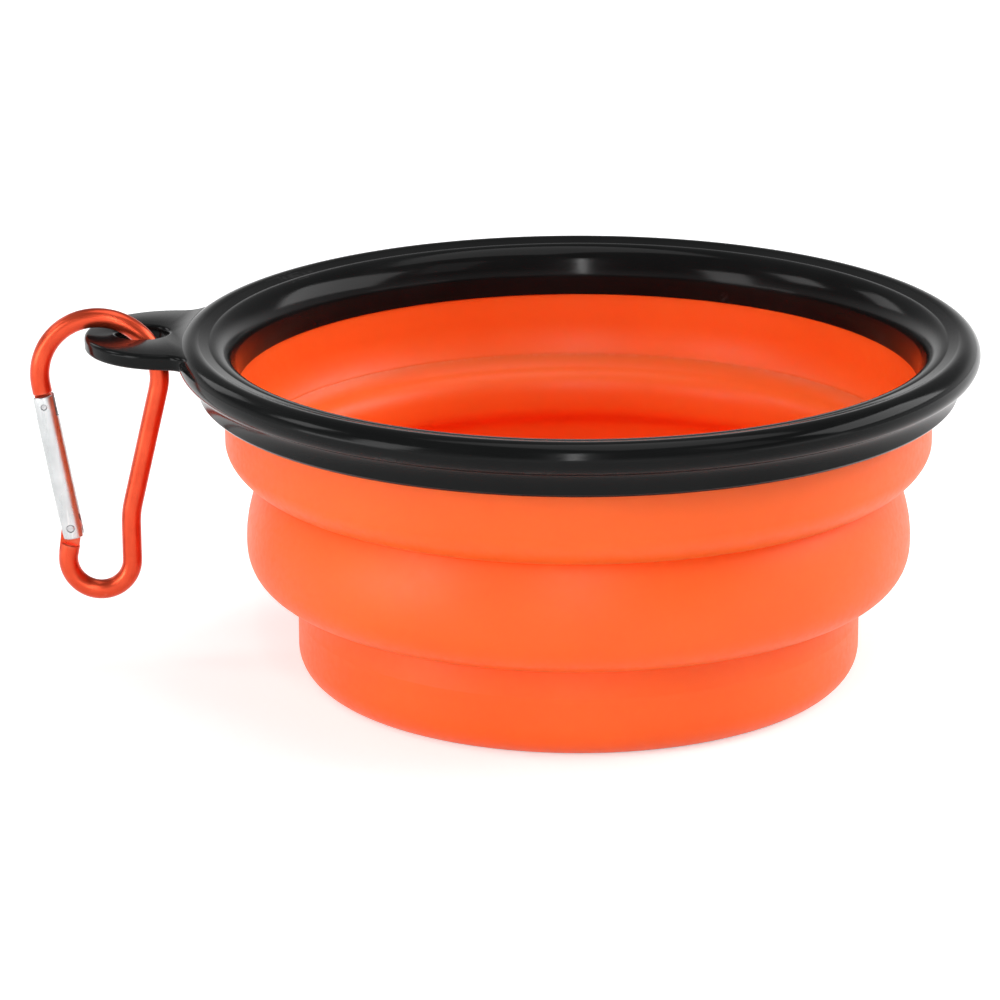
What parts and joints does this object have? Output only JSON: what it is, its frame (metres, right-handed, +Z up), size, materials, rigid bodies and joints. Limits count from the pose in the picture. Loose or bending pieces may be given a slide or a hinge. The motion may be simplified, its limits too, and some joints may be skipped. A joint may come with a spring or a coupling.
{
  "type": "collapsible pet bowl",
  "caption": "Soft round pet bowl of stacked tiers that push up into a hard rim ring, with a tab on the rim and a spring-gate carabiner hooked through the tab's hole.",
  "frame": {"origin": "centre of the bowl's flat underside", "axes": "+Z up along the bowl's axis, the hanging tab and carabiner towards -X, +Y away from the picture's viewer"},
  "size_m": [0.155, 0.1306, 0.0607],
  "materials": {
    "rim_plastic": "black moulded plastic, polished",
    "soft_wall": "orange silicone, satin",
    "anodised_frame": "red-orange anodised",
    "bare_gate": "bare, lightly polished",
    "steel_pins": "plain drawn wire and turned pins"
  },
  "bodies": {
    "rim": {"rim_ring": "rim_plastic", "upper_band": "soft_wall"},
    "middle": {"mid_band": "soft_wall"},
    "base": {"base_cup": "soft_wall"},
    "carabiner": {"carabiner_frame": "anodised_frame"},
    "gate": {"carabiner_gate": "bare_gate", "gate_pivot_rivet": "steel_pins", "gate_latch_pin": "steel_pins", "gate_plunger": "steel_pins", "gate_spring": "steel_pins"}
  },
  "joints": [
    {"name": "upper_fold", "type": "slide", "parent": "rim", "child": "middle", "axis": [0, 0, 1], "range_m": [0, 0.0185]},
    {"name": "lower_fold", "type": "slide", "parent": "middle", "child": "base", "axis": [0, 0, 1], "range_m": [0, 0.015]},
    {"name": "carabiner_swing", "type": "hinge", "parent": "rim", "child": "carabiner", "pos_m": [-0.0783, 0, 0.04935], "axis": [0, 1, 0], "range_deg": [-30, 90]},
    {"name": "gate_hinge", "type": "hinge", "parent": "carabiner", "child": "gate", "pos_m": [-0.08366, 0, 0.0236], "axis": [0, 1, 0], "range_deg": [0, 36], "stiffness_Nm_per_rad": 0.03, "springref_deg": -20.05}
  ]
}
